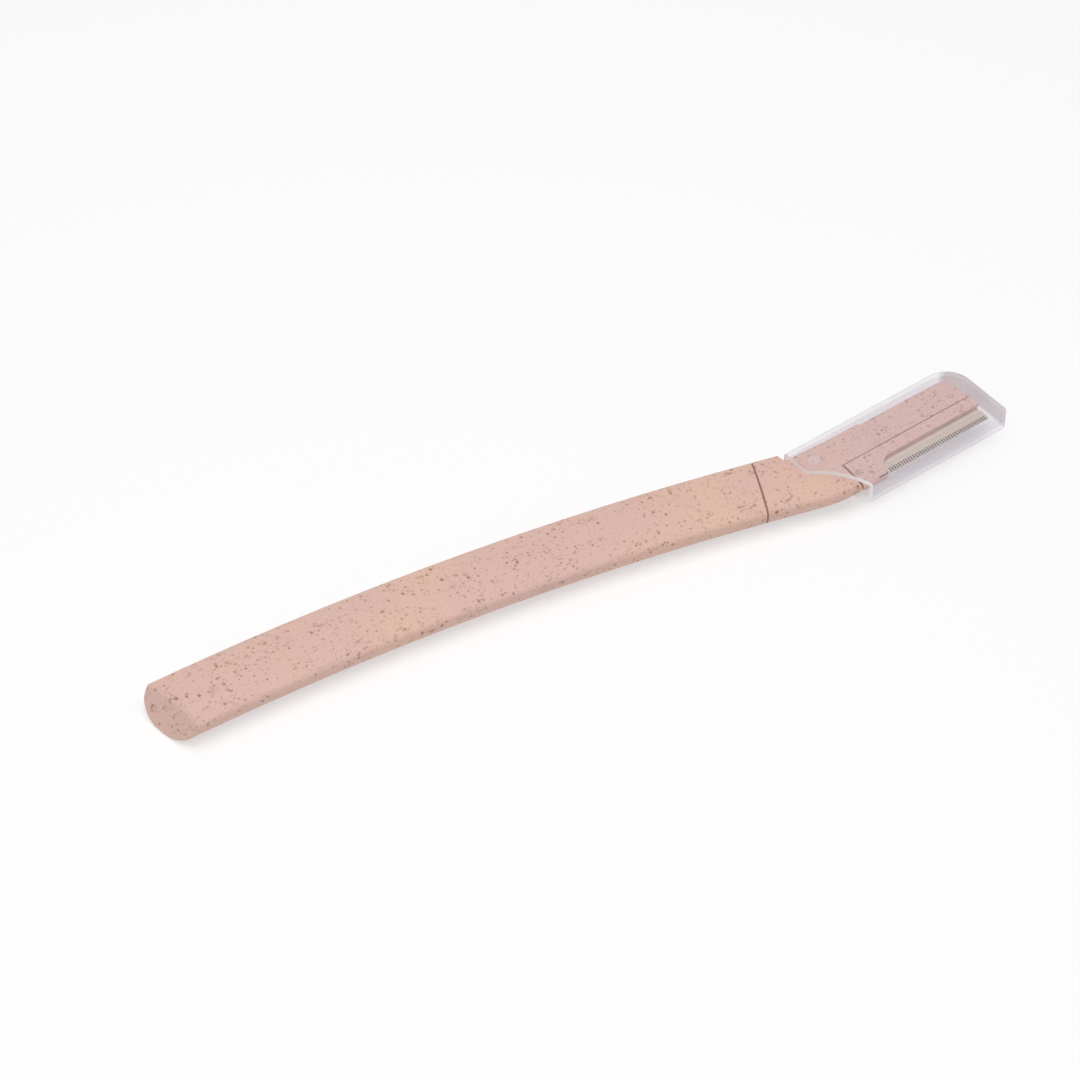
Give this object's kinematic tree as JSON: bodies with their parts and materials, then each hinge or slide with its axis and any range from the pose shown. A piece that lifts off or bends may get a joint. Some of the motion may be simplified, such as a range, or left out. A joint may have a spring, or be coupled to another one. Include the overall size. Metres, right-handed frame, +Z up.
{
  "type": "eyebrow razor",
  "caption": "Bowed flat-topped grooming razor with a toothed blade guard on a canted head, a plugged-in neck and a clear pull-off cap.",
  "frame": {"origin": "middle of the bounding box at the level of the belly's flat land, which rests on the table", "axes": "+X along the head from butt to cap tip, +Y to the spine side, away from the cutting edge, +Z up from the belly to the flat top"},
  "size_m": [0.145, 0.0348, 0.0066],
  "materials": {
    "speckled_plastic": "matte, moulded, with fine straw specks",
    "blade_steel": "ground, satin",
    "guard_steel": "satin, etched teeth",
    "clear_plastic": "clear, slightly milky, glossy"
  },
  "bodies": {
    "razor": {"handle": "speckled_plastic", "head": "speckled_plastic", "blade_carrier": "speckled_plastic", "blade": "blade_steel", "blade_guard": "guard_steel"},
    "cap": {"cap": "clear_plastic"}
  },
  "joints": [
    {"name": "cap_slide", "type": "slide", "parent": "razor", "child": "cap", "axis": [1, 0, 0], "range_m": [0, 0.04]}
  ]
}
